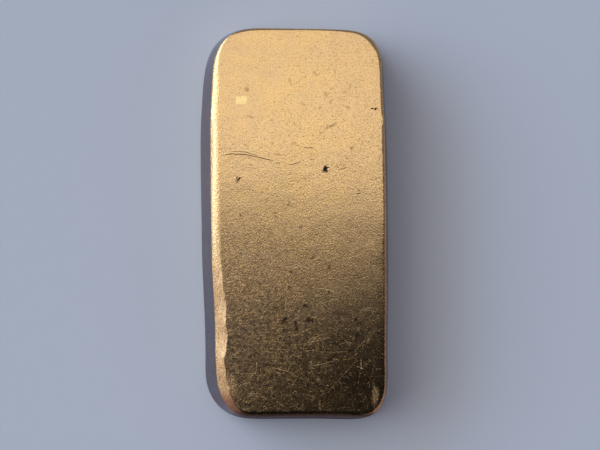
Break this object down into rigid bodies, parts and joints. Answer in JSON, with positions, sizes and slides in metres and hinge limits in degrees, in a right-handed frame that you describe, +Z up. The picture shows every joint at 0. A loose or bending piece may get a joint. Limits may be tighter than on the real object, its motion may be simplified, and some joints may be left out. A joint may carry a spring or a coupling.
{
  "type": "metal ingot",
  "caption": "Small cast bar of gold-coloured metal: a tapered block with rounded, unequal corners and worn edges, kept, stacked or melted as raw stock.",
  "frame": {"origin": "centre of the bounding box at the level of the flat face that the bar lies on", "axes": "+Z up from the wide pour side to the narrower mould-bottom face; +Y along the bar's length, away from the viewer of the picture; +X across the bar, to the viewer's right"},
  "size_m": [0.0202, 0.042, 0.0069],
  "materials": {
    "gold": "cast yellow metal, handled to a satin: smooth with fine pits at one end, finely scratched at the other, a little red-brown tarnish in the rounded corners"
  },
  "bodies": {
    "root": {"ingot": "gold"}
  },
  "joints": []
}
